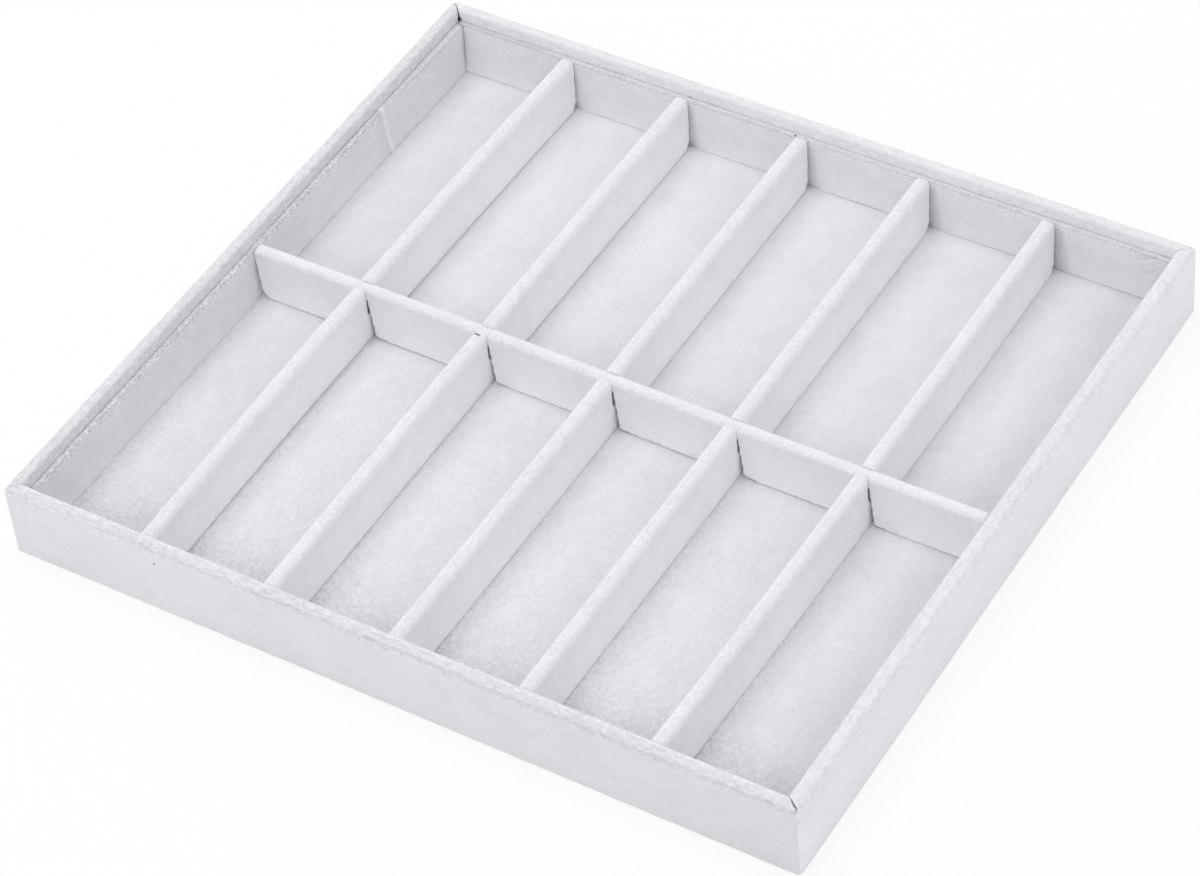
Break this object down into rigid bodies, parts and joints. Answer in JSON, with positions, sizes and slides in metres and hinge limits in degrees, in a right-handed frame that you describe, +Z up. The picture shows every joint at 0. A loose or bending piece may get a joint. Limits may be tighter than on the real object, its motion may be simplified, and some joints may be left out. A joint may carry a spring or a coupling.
{
  "type": "sunglasses storage tray",
  "caption": "Open velvet-covered tray that stores sunglasses in two rows of long compartments, with a lift-out grid of interlocked dividers.",
  "frame": {"origin": "middle of the footprint, on the surface that the tray stands on", "axes": "+X along the front from left to right, +Y from the front to the rear, +Z up"},
  "size_m": [0.385, 0.36, 0.038],
  "materials": {
    "wall_velvet": "short-pile velvet",
    "floor_velvet": "short-pile velvet",
    "liner_velvet": "short-pile velvet",
    "divider_velvet": "short-pile velvet",
    "underside_velvet": "short-pile velvet",
    "fibreboard": "raw fibreboard",
    "grey_card": "grey board"
  },
  "bodies": {
    "tray": {"base_board": "fibreboard", "floor_velvet": "floor_velvet", "underside_cover": "underside_velvet", "front_wall_board": "fibreboard", "front_wall_velvet": "wall_velvet", "front_liner_card": "grey_card", "front_liner_velvet": "liner_velvet", "right_wall_board": "fibreboard", "right_wall_velvet": "wall_velvet", "right_liner_card": "grey_card", "right_liner_velvet": "liner_velvet", "rear_wall_board": "fibreboard", "rear_wall_velvet": "wall_velvet", "rear_liner_card": "grey_card", "rear_liner_velvet": "liner_velvet", "left_wall_board": "fibreboard", "left_wall_velvet": "wall_velvet", "left_liner_card": "grey_card", "left_liner_velvet": "liner_velvet"},
    "divider_grid": {"long_divider_board": "grey_card", "long_divider_velvet": "divider_velvet", "cross_divider_board_1": "grey_card", "cross_divider_velvet_1": "divider_velvet", "cross_divider_board_2": "grey_card", "cross_divider_velvet_2": "divider_velvet", "cross_divider_board_3": "grey_card", "cross_divider_velvet_3": "divider_velvet", "cross_divider_board_4": "grey_card", "cross_divider_velvet_4": "divider_velvet", "cross_divider_board_5": "grey_card", "cross_divider_velvet_5": "divider_velvet"}
  },
  "joints": [
    {"name": "grid_lift", "type": "slide", "parent": "tray", "child": "divider_grid", "axis": [0, 0, 1], "range_m": [0, 0.04]}
  ]
}
